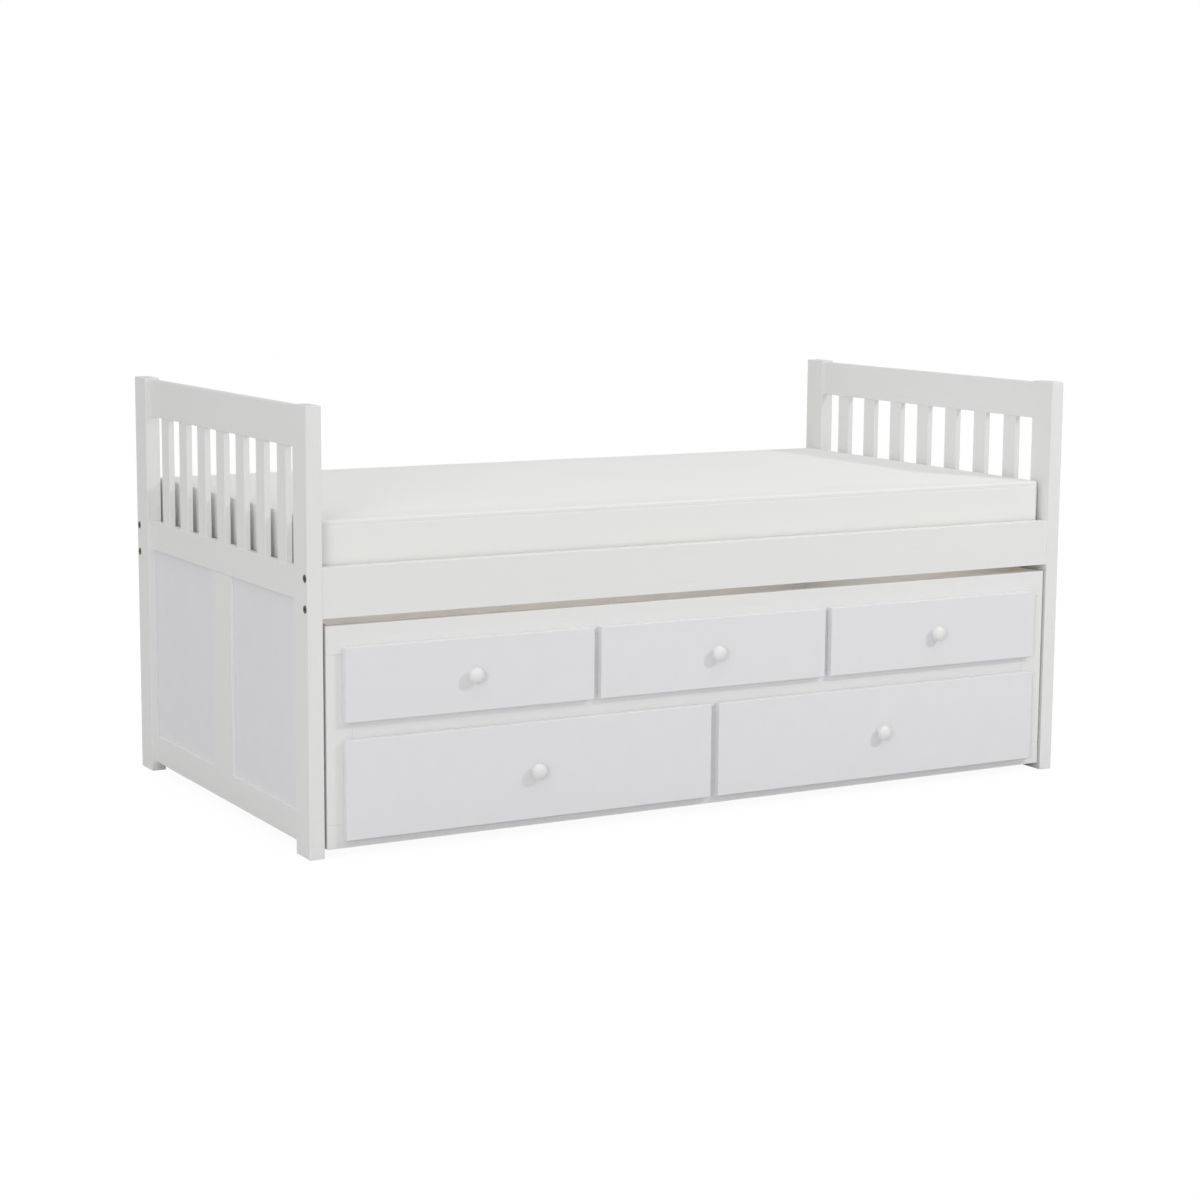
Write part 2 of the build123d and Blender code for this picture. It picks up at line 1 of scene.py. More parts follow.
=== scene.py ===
import bmesh
import bpy
import math
from mathutils import Matrix, Vector, noise


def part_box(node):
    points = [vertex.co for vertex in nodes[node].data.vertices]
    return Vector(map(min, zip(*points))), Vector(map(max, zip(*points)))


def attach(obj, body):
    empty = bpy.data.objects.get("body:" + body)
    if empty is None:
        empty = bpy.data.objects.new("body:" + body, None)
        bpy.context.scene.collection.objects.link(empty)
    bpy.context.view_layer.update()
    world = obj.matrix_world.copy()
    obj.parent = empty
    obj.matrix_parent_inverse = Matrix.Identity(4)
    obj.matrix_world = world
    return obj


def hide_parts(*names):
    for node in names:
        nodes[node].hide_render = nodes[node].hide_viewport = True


# Trundle bed in white lacquer. The boards, drawers, slides and bolts are the frame's own nodes and get
# their finishes here. The mattress, wheels, screws, tapes and pads are made in this script.

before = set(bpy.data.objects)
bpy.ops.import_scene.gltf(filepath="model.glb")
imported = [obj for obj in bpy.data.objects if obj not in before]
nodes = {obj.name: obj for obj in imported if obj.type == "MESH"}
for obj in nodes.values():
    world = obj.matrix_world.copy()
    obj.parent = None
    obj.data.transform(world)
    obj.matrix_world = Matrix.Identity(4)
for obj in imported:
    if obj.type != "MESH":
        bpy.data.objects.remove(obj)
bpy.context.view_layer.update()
scene = bpy.context.scene
touching = 1e-5  # nearer than this is the same place
print("frame loaded:", len(nodes), "nodes")


def feed(tree, node, inputs):  # values and links into a node's sockets
    for key, value in inputs.items():
        if isinstance(value, bpy.types.Node):
            value = value.outputs[0]
        if isinstance(value, bpy.types.NodeSocket):
            tree.links.new(value, node.inputs[key])
        else:
            node.inputs[key].default_value = value


def addNode(tree, kind, inputs=None, **settings):  # one node with its settings, values and links
    node = tree.nodes.new(kind)
    for name, value in settings.items():
        setattr(node, name, value)
    feed(tree, node, inputs or {})
    return node


def colour(code):  # sRGB hex to linear
    parts = [int(code[at:at + 2], 16) / 255 for at in (1, 3, 5)]
    return tuple(p / 12.92 if p <= 0.04045 else ((p + 0.055) / 1.055) ** 2.4 for p in parts) + (1.0,)


def newFinish(name, values):  # an empty finish: its tree, its surface and the piece's own coordinates
    finish = bpy.data.materials.new(name)
    finish.use_nodes = True
    tree = finish.node_tree
    tree.nodes.clear()
    surface = addNode(tree, "ShaderNodeBsdfPrincipled", values)
    addNode(tree, "ShaderNodeOutputMaterial", {"Surface": surface})
    place = addNode(tree, "ShaderNodeTexCoord")
    return finish, tree, surface, place.outputs["Object"]


def stretched(axis, along, across):  # pattern scale with its long way on one axis
    return tuple(1 / along if at == axis else 1 / across for at in "xyz")


def newPiece(name, shape, finish, body, smooth=True):  # a finished mesh that rides a body
    mesh = bpy.data.meshes.new(name)
    shape.to_mesh(mesh)
    shape.free()
    mesh.materials.append(finish)
    mesh.polygons.foreach_set("use_smooth", [smooth] * len(mesh.polygons))
    piece = bpy.data.objects.new(name, mesh)
    scene.collection.objects.link(piece)
    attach(piece, body)
    return piece


# view and light

viewpoint = {
    "place": (-3.057, -5.441, 1.370), "azimuth": -29.25, "elevation": 8.59, "roll": 0.415,
    "lens": 76.2, "sensor": 36, "clip": (0.1, 200),
}

cameraData = bpy.data.cameras.new("camera")
cameraData.lens = viewpoint["lens"]
cameraData.sensor_width = viewpoint["sensor"]
cameraData.clip_start, cameraData.clip_end = viewpoint["clip"]
camera = bpy.data.objects.new("camera", cameraData)
turn = Matrix.Rotation(math.radians(viewpoint["azimuth"]), 4, "Z")
tilt = Matrix.Rotation(math.radians(90 - viewpoint["elevation"]), 4, "X")
roll = Matrix.Rotation(math.radians(viewpoint["roll"]), 4, "Z")
camera.matrix_world = Matrix.Translation(viewpoint["place"]) @ turn @ tilt @ roll
scene.collection.objects.link(camera)
scene.camera = camera
scene.view_settings.view_transform = "Standard"

studio = {
    "keyFrom": (0.45, -0.68, 0.58), "keyDistance": 5.8, "keyPower": 52.0, "keySize": 0.2,
    "frontFrom": (-0.67, -0.69, 0.24), "frontDistance": 12.0, "frontPower": 265.0, "frontSize": 4.0,
    "skyLow": 0.29, "skyHigh": 1.14, "skyRise": 1.5, "leftWall": 0.16,  # brightest overhead, then on the left
    "bouncePower": 3.6, "bounceHeight": 0.50, "bounceSize": (1.8, 0.9),
    "floorSize": 60.0, "floorTone": "#D4D4D4", "floorDrop": 0.0003,
    "floorLift": 0.9, "floorGlow": 1.05,  # how far the viewer sees it lifted to white
}


def roundLight(name, part):  # a disc of light that looks at the bed
    data = bpy.data.lights.new(name, "AREA")
    data.shape = "DISK"
    data.energy = studio[part + "Power"]
    data.size = studio[part + "Size"]
    light = bpy.data.objects.new(name, data)
    way = Vector(studio[part + "From"]).normalized()
    light.location = way * studio[part + "Distance"]
    light.rotation_mode = "QUATERNION"
    light.rotation_quaternion = way.to_track_quat("Z", "Y")
    light.visible_camera = False
    scene.collection.objects.link(light)


roundLight("keyLamp", "key")  # crisp shadows, down to the left
roundLight("frontSoftbox", "front")  # opens up the recesses

# bounce card that opens up the shade under the bed
bounceData = bpy.data.lights.new("bounceCard", "AREA")
bounceData.shape = "RECTANGLE"
bounceData.size, bounceData.size_y = studio["bounceSize"]
bounceData.energy = studio["bouncePower"]
bounce = bpy.data.objects.new("bounceCard", bounceData)
bounce.location.z = studio["bounceHeight"]
bounce.visible_camera = False
scene.collection.objects.link(bounce)

world = bpy.data.worlds.new("whiteRoom")
world.use_nodes = True
room = world.node_tree
room.nodes.clear()
rays = addNode(room, "ShaderNodeLightPath")
way = addNode(room, "ShaderNodeTexCoord")
up = addNode(room, "ShaderNodeSeparateXYZ", {0: way.outputs["Generated"]})
above = addNode(room, "ShaderNodeMath", {0: up.outputs["Z"], 1: 0.0}, operation="MAXIMUM")
rise = addNode(room, "ShaderNodeMath", {0: above, 1: studio["skyRise"]}, operation="POWER")
glow = addNode(room, "ShaderNodeMapRange", {
    "Value": rise, "To Min": studio["skyLow"], "To Max": studio["skyHigh"]})
leftness = addNode(room, "ShaderNodeMath", {0: up.outputs["X"], 1: -studio["leftWall"], 2: 1.0},
                   operation="MULTIPLY_ADD")
wall = addNode(room, "ShaderNodeMath", {0: glow, 1: leftness}, operation="MULTIPLY")
around = addNode(room, "ShaderNodeBackground", {"Color": (1, 1, 1, 1), "Strength": wall})
behind = addNode(room, "ShaderNodeBackground", {"Color": (1, 1, 1, 1), "Strength": 1.0})
backdrop = addNode(room, "ShaderNodeMixShader", {0: rays.outputs["Is Camera Ray"], 1: around, 2: behind})
addNode(room, "ShaderNodeOutputWorld", {"Surface": backdrop})
scene.world = world


def sweepFloor():  # white paper sweep, lifted to white for the viewer, with a faint contact shadow
    finish = bpy.data.materials.new("WhitePaperSweep")
    finish.use_nodes = True
    tree = finish.node_tree
    tree.nodes.clear()
    path = addNode(tree, "ShaderNodeLightPath")
    share = addNode(tree, "ShaderNodeMath", {0: path.outputs["Is Camera Ray"], 1: studio["floorLift"]},
                    operation="MULTIPLY")
    lifted = addNode(tree, "ShaderNodeEmission", {"Color": (1, 1, 1, 1), "Strength": studio["floorGlow"]})
    paper = addNode(tree, "ShaderNodeBsdfDiffuse", {"Color": colour(studio["floorTone"])})
    both = addNode(tree, "ShaderNodeMixShader", {0: share, 1: paper, 2: lifted})
    addNode(tree, "ShaderNodeOutputMaterial", {"Surface": both})
    return finish


floorShape = bmesh.new()
bmesh.ops.create_grid(floorShape, x_segments=1, y_segments=1, size=studio["floorSize"])
floorMesh = bpy.data.meshes.new("floor")
floorShape.to_mesh(floorMesh)
floorShape.free()
floorMesh.materials.append(sweepFloor())
floor = bpy.data.objects.new("floor", floorMesh)
floor.location.z = -studio["floorDrop"]
scene.collection.objects.link(floor)
print("camera, light and floor set")


# finishes of the boards

lacquer = {
    "colour": "#EEEEED", "thin": "#E8E8E6", "roughness": (0.36, 0.47), "specular": 0.45,
    "grainLength": 0.16, "grainWidth": 0.0030, "grainDepth": 0.00002,  # about 5 times too wide, to show
    "pores": (0.56, 0.74), "cloudScale": 7.0, "peelSize": 0.0022, "peelDepth": 0.000018,
}


def lacqueredWood(axis):  # sprayed over rubberwood: satin white, faint pores and grain along the board
    look = lacquer
    name = "SprayLacqueredRubberwood" + axis.upper()
    finish, tree, surface, here = newFinish(name, {"Specular IOR Level": look["specular"]})
    long = addNode(tree, "ShaderNodeMapping", {
        "Vector": here, "Scale": stretched(axis, look["grainLength"], look["grainWidth"])})
    grain = addNode(tree, "ShaderNodeTexNoise", {
        "Vector": long, "Scale": 1.0, "Detail": 3.0, "Roughness": 0.6})
    pores = addNode(tree, "ShaderNodeMapRange", {
        "Value": grain, "From Min": look["pores"][0], "From Max": look["pores"][1]})
    cloud = addNode(tree, "ShaderNodeTexNoise", {"Vector": here, "Scale": look["cloudScale"], "Detail": 2.0})
    thin = addNode(tree, "ShaderNodeMath", {0: pores, 1: cloud}, operation="MULTIPLY")
    tint = addNode(tree, "ShaderNodeMix", {0: thin, 6: colour(look["colour"]), 7: colour(look["thin"])},
                   data_type="RGBA")
    peel = addNode(tree, "ShaderNodeTexNoise", {"Vector": here, "Scale": 1 / look["peelSize"], "Detail": 1.0})
    gloss = addNode(tree, "ShaderNodeMapRange", {
        "Value": cloud, "From Min": 0.3, "From Max": 0.7,
        "To Min": look["roughness"][0], "To Max": look["roughness"][1]})
    skin = addNode(tree, "ShaderNodeBump", {"Distance": look["peelDepth"], "Height": peel})
    lines = addNode(tree, "ShaderNodeBump", {"Distance": look["grainDepth"], "Height": grain, "Normal": skin})
    feed(tree, surface, {"Base Color": tint.outputs[2], "Roughness": gloss, "Normal": lines})
    return finish


board = {
    "colour": "#EDEDF0", "thin": "#EAEAED", "roughness": (0.38, 0.45), "specular": 0.45,
    "peelSize": 0.0018, "peelDepth": 0.000016, "rollSize": 0.06, "rollDepth": 0.00003,
}


def lacqueredMdf():  # sprayed over sanded board: smooth satin, no grain, faint orange peel and slow waves
    look = board
    finish, tree, surface, here = newFinish("SprayLacqueredMdf", {"Specular IOR Level": look["specular"]})
    roll = addNode(tree, "ShaderNodeTexNoise", {"Vector": here, "Scale": 1 / look["rollSize"], "Detail": 2.0})
    tint = addNode(tree, "ShaderNodeMix", {0: roll, 6: colour(look["colour"]), 7: colour(look["thin"])},
                   data_type="RGBA")
    peel = addNode(tree, "ShaderNodeTexNoise", {"Vector": here, "Scale": 1 / look["peelSize"], "Detail": 2.0})
    gloss = addNode(tree, "ShaderNodeMapRange", {
        "Value": roll, "From Min": 0.3, "From Max": 0.7,
        "To Min": look["roughness"][0], "To Max": look["roughness"][1]})
    skin = addNode(tree, "ShaderNodeBump", {"Distance": look["peelDepth"], "Height": peel})
    waves = addNode(tree, "ShaderNodeBump", {"Distance": look["rollDepth"], "Height": roll, "Normal": skin})
    feed(tree, surface, {"Base Color": tint.outputs[2], "Roughness": gloss, "Normal": waves})
    return finish


pine = {
    "early": "#F0E6D3", "late": "#DECDAF", "knot": "#80583A", "roughness": 0.62, "specular": 0.3,
    "ringPitch": 0.016, "boardLength": 0.9, "fibre": 0.0015, "fibreLength": 0.08, "fibreDepth": 0.00012,
    "knotPitch": 0.34, "knotReach": 0.035, "knotShare": 0.9,
}


def planedPine(axis):  # planed and left bare: pale straw with darker rings along the slat and a few knots
    look = pine
    finish, tree, surface, here = newFinish("PlanedPine" + axis.upper(), {
        "Roughness": look["roughness"], "Specular IOR Level": look["specular"]})
    rings = addNode(tree, "ShaderNodeMapping", {
        "Vector": here, "Scale": stretched(axis, look["boardLength"], look["ringPitch"] * 4)})
    figure = addNode(tree, "ShaderNodeTexWave", {
        "Vector": rings, "Scale": 1.3, "Distortion": 6.0, "Detail": 2.0, "Detail Scale": 1.2},
        bands_direction="DIAGONAL")
    late = addNode(tree, "ShaderNodeMapRange", {
        "Value": figure.outputs["Fac"], "From Min": 0.45, "From Max": 1.0})
    wood = addNode(tree, "ShaderNodeMix", {0: late, 6: colour(look["early"]), 7: colour(look["late"])},
                   data_type="RGBA")
    spots = addNode(tree, "ShaderNodeMapping", {
        "Vector": here, "Scale": stretched(axis, look["knotPitch"], look["knotPitch"] / 2)})
    cells = addNode(tree, "ShaderNodeTexVoronoi", {"Vector": spots, "Scale": 1.0})
    knot = addNode(tree, "ShaderNodeMapRange", {
        "Value": cells.outputs["Distance"], "From Min": look["knotReach"], "From Max": look["knotReach"] * 2,
        "To Min": look["knotShare"], "To Max": 0.0})
    tint = addNode(tree, "ShaderNodeMix", {0: knot, 6: wood.outputs[2], 7: colour(look["knot"])},
                   data_type="RGBA")
    hair = addNode(tree, "ShaderNodeMapping", {
        "Vector": here, "Scale": stretched(axis, look["fibreLength"], look["fibre"])})
    fibre = addNode(tree, "ShaderNodeTexNoise", {"Vector": hair, "Scale": 1.0, "Detail": 3.0})
    relief = addNode(tree, "ShaderNodeBump", {"Distance": look["fibreDepth"], "Height": fibre})
    feed(tree, surface, {"Base Color": tint.outputs[2], "Normal": relief})
    return finish


plywood = {
    "face": "#EADBC0", "faceDark": "#DBC6A4", "plyLight": "#E2CDAB", "plyDark": "#A17E54", "plyPitch": 0.0028,
    "roughness": 0.55, "specular": 0.35, "rippleLength": 0.35, "rippleWidth": 0.018, "rippleDepth": 0.00008,
}


def birchPlywood(axis):  # rotary-cut faces with a pale ripple, and striped plies where an edge shows
    look = plywood
    finish, tree, surface, here = newFinish("BirchPlywood" + axis.upper(), {
        "Roughness": look["roughness"], "Specular IOR Level": look["specular"]})
    grainWay = "y" if axis == "x" else "x"
    ripple = addNode(tree, "ShaderNodeMapping", {
        "Vector": here, "Scale": stretched(grainWay, look["rippleLength"], look["rippleWidth"])})
    figure = addNode(tree, "ShaderNodeTexNoise", {
        "Vector": ripple, "Scale": 1.0, "Detail": 4.0, "Distortion": 0.6})
    face = addNode(tree, "ShaderNodeMix", {0: figure, 6: colour(look["face"]), 7: colour(look["faceDark"])},
                   data_type="RGBA")
    plies = addNode(tree, "ShaderNodeTexWave", {"Vector": here, "Scale": math.pi / 10 / look["plyPitch"]},
                    bands_direction=axis.upper())
    stripe = addNode(tree, "ShaderNodeMix", {
        0: plies.outputs["Fac"], 6: colour(look["plyLight"]), 7: colour(look["plyDark"])}, data_type="RGBA")
    facing = addNode(tree, "ShaderNodeSeparateXYZ", {0: here.node.outputs["Normal"]})
    side = addNode(tree, "ShaderNodeMath", {0: facing.outputs["xyz".index(axis)]}, operation="ABSOLUTE")
    flat = addNode(tree, "ShaderNodeMath", {0: side, 1: 0.5}, operation="GREATER_THAN")
    tint = addNode(tree, "ShaderNodeMix", {0: flat, 6: stripe.outputs[2], 7: face.outputs[2]},
                   data_type="RGBA")
    relief = addNode(tree, "ShaderNodeBump", {"Distance": look["rippleDepth"], "Height": figure})
    feed(tree, surface, {"Base Color": tint.outputs[2], "Normal": relief})
    return finish


# finishes of the metal and plastic

hardware = {
    "bronze": "#5A5442", "rubbed": "#8F8667", "bronzeMetal": 0.9, "bronzeRoughness": (0.34, 0.5),
    "zinc": "#C3C7CA", "zincDull": "#A9AEB3", "zincRoughness": (0.26, 0.42),
    "powder": "#E2E2DE", "dusty": "#D6D6D1", "powderRoughness": 0.42, "pebbleDepth": 0.00003,
    "nylon": "#232326", "nylonWorn": "#303034", "nylonRoughness": (0.42, 0.6), "gritDepth": 0.00004,
    "rubScale": 220.0, "spangleScale": 260.0, "pebbleScale": 900.0, "gritScale": 1400.0,
}


def bronzedSteel():  # antique bronze plate, tumbled: dark olive brown, rubbed brighter in soft patches
    look = hardware
    finish, tree, surface, here = newFinish("AntiqueBronzePlatedSteel", {"Metallic": look["bronzeMetal"]})
    rub = addNode(tree, "ShaderNodeTexNoise", {"Vector": here, "Scale": look["rubScale"], "Detail": 3.0})
    tint = addNode(tree, "ShaderNodeMix", {0: rub, 6: colour(look["bronze"]), 7: colour(look["rubbed"])},
                   data_type="RGBA")
    low, high = look["bronzeRoughness"]
    gloss = addNode(tree, "ShaderNodeMapRange", {"Value": rub, "To Min": low, "To Max": high})
    feed(tree, surface, {"Base Color": tint.outputs[2], "Roughness": gloss})
    return finish


def zincSteel():  # electroplated: cool grey, softly mottled shine
    look = hardware
    finish, tree, surface, here = newFinish("ZincPlatedSteel", {"Metallic": 1.0})
    cells = addNode(tree, "ShaderNodeTexVoronoi", {"Vector": here, "Scale": look["spangleScale"]})
    mottle = cells.outputs["Distance"]
    tint = addNode(tree, "ShaderNodeMix", {0: mottle, 6: colour(look["zinc"]), 7: colour(look["zincDull"])},
                   data_type="RGBA")
    low, high = look["zincRoughness"]
    gloss = addNode(tree, "ShaderNodeMapRange", {"Value": mottle, "To Min": low, "To Max": high})
    feed(tree, surface, {"Base Color": tint.outputs[2], "Roughness": gloss})
    return finish


def coatedSteel():  # epoxy powder baked on: even warm white with a fine pebble
    look = hardware
    finish, tree, surface, here = newFinish("PowderCoatedSteel", {"Roughness": look["powderRoughness"]})
    pebble = addNode(tree, "ShaderNodeTexNoise", {
        "Vector": here, "Scale": look["pebbleScale"], "Detail": 1.0})
    tint = addNode(tree, "ShaderNodeMix", {0: pebble, 6: colour(look["powder"]), 7: colour(look["dusty"])},
                   data_type="RGBA")
    relief = addNode(tree, "ShaderNodeBump", {"Distance": look["pebbleDepth"], "Height": pebble})
    feed(tree, surface, {"Base Color": tint.outputs[2], "Normal": relief})
    return finish


def mouldedNylon():  # injection moulded, spark-eroded mould: near black with a dull fine texture
    look = hardware
    finish, tree, surface, here = newFinish("MouldedNylon", {"Specular IOR Level": 0.5})
    grit = addNode(tree, "ShaderNodeTexNoise", {"Vector": here, "Scale": look["gritScale"], "Detail": 2.0})
    tint = addNode(tree, "ShaderNodeMix", {0: grit, 6: colour(look["nylon"]), 7: colour(look["nylonWorn"])},
                   data_type="RGBA")
    low, high = look["nylonRoughness"]
    gloss = addNode(tree, "ShaderNodeMapRange", {"Value": grit, "To Min": low, "To Max": high})
    relief = addNode(tree, "ShaderNodeBump", {"Distance": look["gritDepth"], "Height": grit})
    feed(tree, surface, {"Base Color": tint.outputs[2], "Roughness": gloss, "Normal": relief})
    return finish


woodX, woodY, woodZ = lacqueredWood("x"), lacqueredWood("y"), lacqueredWood("z")
smoothBoard = lacqueredMdf()
pineX, pineY = planedPine("x"), planedPine("y")
bronze, zinc, powder, nylon = bronzedSteel(), zincSteel(), coatedSteel(), mouldedNylon()

ends = ("foot_", "head_")
finishOf = {
    woodZ: [e + n for e in ends for n in ("post_front", "post_back", "center_stile", "spindles")]
           + ["trundle_stiles", "trundle_mullions"],
    woodY: [e + n for e in ends for n in ("top_rail", "mid_rail", "bottom_rail")]
           + ["left_drawer_knob", "right_drawer_knob", "false_front_knobs"],
    woodX: ["front_side_rail", "rear_side_rail", "rear_stretcher", "trundle_top_rail", "trundle_mid_rail",
            "trundle_bottom_rail"],
    smoothBoard: ["foot_panels", "head_panels", "trundle_side_left", "trundle_side_right", "trundle_back",
                  "false_front_left", "false_front_middle", "false_front_right",
                  "left_drawer_front", "right_drawer_front"],
    pineX: ["slat_ledgers", "trundle_ledgers"],
    pineY: ["bed_slats", "trundle_slats", "trundle_bearers", "slide_cleats"],
    birchPlywood("x"): ["left_drawer_sides", "right_drawer_sides", "trundle_divider"],
    birchPlywood("y"): ["left_drawer_back", "right_drawer_back"],
    birchPlywood("z"): ["left_drawer_bottom", "right_drawer_bottom"],
    bronze: ["bed_bolts"],
    zinc: ["barrel_nuts", "caster_brackets", "caster_axles"],
    powder: ["slide_channels", "left_drawer_runners", "right_drawer_runners"],
    nylon: [n for n in nodes if n.startswith("wheel_")],
}
for finish, names in finishOf.items():
    for name in names:
        nodes[name].data.materials.clear()
        nodes[name].data.materials.append(finish)
print("finishes assigned to", sum(len(names) for names in finishOf.values()), "nodes")


# mattress

mattress = {
    "corner": 0.012, "cornerSteps": 6, "edge": 0.004, "edgeSteps": 3, "cell": 0.024, "tighter": 0.0015,
    "pressure": 4.0, "stiffness": 40, "quality": 4, "frames": 20, "swell": 0.0020,
    "seamDrop": 0.011, "seamWidth": 0.0016, "seamDepth": 0.0010, "topWave": 0.0006, "waveScale": 4,
    "colour": "#F4F4F2", "shadow": "#E6E6E2", "shadowShare": 0.35, "roughness": 0.88, "specular": 0.2,
    "sheen": 0.12, "sheenRoughness": 0.5, "cloudScale": 14.0, "softDepth": 0.0006, "softness": 0.6,
    "knitPitch": 0.0024, "knitDepth": 0.00012,  # real knit is about 1 mm, drawn coarser to show
}


def knittedTicking():  # circular-knit polyester cover: matt off-white, soft fuzz, tiny rows of loops with painted shade between them
    look = mattress
    finish, tree, surface, here = newFinish("KnittedPolyesterTicking", {
        "Roughness": look["roughness"], "Specular IOR Level": look["specular"],
        "Sheen Weight": look["sheen"], "Sheen Roughness": look["sheenRoughness"]})
    knit = {"Vector": here, "Scale": math.pi / 10 / look["knitPitch"]}
    rows = [addNode(tree, "ShaderNodeTexWave", knit, bands_direction=way).outputs["Fac"] for way in "XYZ"]
    flat = addNode(tree, "ShaderNodeMath", {0: rows[0], 1: rows[1]}, operation="MULTIPLY")
    loops = addNode(tree, "ShaderNodeMath", {0: flat, 1: rows[2]}, operation="ADD")
    cloud = addNode(tree, "ShaderNodeTexNoise", {"Vector": here, "Scale": look["cloudScale"], "Detail": 4.0})
    # painted shade: the low points of the knit pattern are darkened towards the shadow colour
    loopShade = addNode(tree, "ShaderNodeMapRange", {
        "Value": loops, "From Max": 2.0, "To Min": look["shadowShare"], "To Max": 0.0})
    tint = addNode(tree, "ShaderNodeMix", {0: loopShade, 6: colour(look["colour"]), 7: colour(look["shadow"])},
                   data_type="RGBA")
    soft = addNode(tree, "ShaderNodeBump", {
        "Distance": look["softDepth"], "Height": cloud, "Strength": look["softness"]})
    relief = addNode(tree, "ShaderNodeBump", {"Distance": look["knitDepth"], "Height": loops, "Normal": soft})
    feed(tree, surface, {"Base Color": tint.outputs[2], "Normal": relief})
    return finish


def mattressShell(low, high, look):  # a slab with round corners, cut into even cells
    shell = bmesh.new()
    bmesh.ops.create_cube(shell, size=1.0)
    for vert in shell.verts:
        vert.co = Vector(low[at] + (vert.co[at] + 0.5) * (high[at] - low[at]) for at in range(3))
    upright = [e for e in shell.edges if abs(e.verts[0].co.z - e.verts[1].co.z) > look["edge"]]
    bmesh.ops.bevel(shell, geom=upright, offset=look["corner"], segments=look["cornerSteps"],
                    profile=0.5, affect="EDGES")
    shell.normal_update()
    rims = [e for e in shell.edges if len({abs(f.normal.z) > 0.5 for f in e.link_faces}) == 2]
    bmesh.ops.bevel(shell, geom=rims, offset=look["edge"], segments=look["edgeSteps"],
                    profile=0.5, affect="EDGES")
    cuts = []
    for at in range(3):
        count = round((high[at] - low[at] - 2 * look["corner"]) / look["cell"])
        step = (high[at] - low[at] - 2 * look["corner"]) / count
        cuts += [(at, low[at] + look["corner"] + step * k) for k in range(count + 1)]
    for level in (low.z + look["seamDrop"], high.z - look["seamDrop"]):
        cuts += [(2, level + side * look["seamWidth"]) for side in (-1, 0, 1)]
    for at, where in cuts:
        point, normal = Vector(), Vector()
        point[at], normal[at] = where, 1.0
        everything = shell.verts[:] + shell.edges[:] + shell.faces[:]
        bmesh.ops.bisect_plane(shell, geom=everything, dist=1e-6, plane_co=point, plane_no=normal)
    bmesh.ops.remove_doubles(shell, verts=shell.verts, dist=touching)
    bmesh.ops.recalc_face_normals(shell, faces=shell.faces)
    return shell


def fillWithFoam(piece, look):  # cloth under pressure, then no point further than the swell
    start = [v.co.copy() for v in piece.data.vertices]
    cloth = piece.modifiers.new("fill", "CLOTH")
    cloth.settings.quality = look["quality"]
    cloth.settings.use_pressure = True
    cloth.settings.uniform_pressure_force = look["pressure"]
    cloth.settings.effector_weights.gravity = 0
    cloth.settings.tension_stiffness = look["stiffness"]
    cloth.settings.compression_stiffness = look["stiffness"]
    for step in range(1, look["frames"] + 1):
        scene.frame_set(step)
    filled = piece.evaluated_get(bpy.context.evaluated_depsgraph_get())
    moved = [v.co.copy() for v in filled.data.vertices]
    piece.modifiers.remove(cloth)
    scene.frame_set(1)
    for vert, before, after in zip(piece.data.vertices, start, moved):
        push = after - before
        vert.co = before + push * min(1.0, look["swell"] / max(push.length, 1e-9))


mattressLow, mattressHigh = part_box("mattress")
inner = Vector((mattress["tighter"],) * 3)
ticking = knittedTicking()
shell = mattressShell(mattressLow + inner, mattressHigh - inner, mattress)
mattressPiece = newPiece("mattress_cover", shell, ticking, "bed_frame")
restShape = [v.co.copy() for v in mattressPiece.data.vertices]
fillWithFoam(mattressPiece, mattress)


def drawSeams(piece, low, high, look):  # a groove round the sides near the top and the bottom
    middle = (low + high) / 2
    endFrom = (high.x - low.x) / 2 - look["corner"] / 2
    for vert, before in zip(piece.data.vertices, restShape):
        for level in (low.z + look["seamDrop"], high.z - look["seamDrop"]):
            if abs(before.z - level) < touching:
                atEnd = abs(before.x - middle.x) > endFrom
                inward = Vector((middle.x - before.x, 0, 0)) if atEnd else Vector((0, middle.y - before.y, 0))
                vert.co += inward.normalized() * look["seamDepth"]
        if before.z > high.z - look["edge"] / 2:
            vert.co.z += look["topWave"] * noise.noise(before * look["waveScale"])
        vert.co.z = max(vert.co.z, mattressLow.z)


drawSeams(mattressPiece, mattressLow + inner, mattressHigh - inner, mattress)
rounder = mattressPiece.modifiers.new("rounder", "SUBSURF")
rounder.levels = rounder.render_levels = 1
baked = bpy.data.meshes.new_from_object(mattressPiece.evaluated_get(bpy.context.evaluated_depsgraph_get()))
mattressPiece.modifiers.clear()
mattressPiece.data = baked
mattressPiece.data.polygons.foreach_set("use_smooth", [True] * len(baked.polygons))
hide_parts("mattress")
print("mattress made:", len(mattressPiece.data.polygons), "faces")


# rows of small fasteners, grown by Geometry Nodes from points that know which way they face

def newTree(name, wanted):  # an empty node tree whose inputs have names
    tree = bpy.data.node_groups.new(name, "GeometryNodeTree")
    tree.interface.new_socket("Geometry", in_out="INPUT", socket_type="NodeSocketGeometry")
    for label, kind in wanted.items():
        tree.interface.new_socket(label, in_out="INPUT", socket_type="NodeSocket" + kind)
    tree.interface.new_socket("Geometry", in_out="OUTPUT", socket_type="NodeSocketGeometry")
    return tree, addNode(tree, "NodeGroupInput").outputs


def endTree(tree, instances, finish):  # plain geometry with its finish, as the last step of each tree
    real = addNode(tree, "GeometryNodeRealizeInstances", {0: instances})
    done = addNode(tree, "GeometryNodeSetMaterial", {"Geometry": real, "Material": finish})
    addNode(tree, "NodeGroupOutput", {0: done})
    return tree


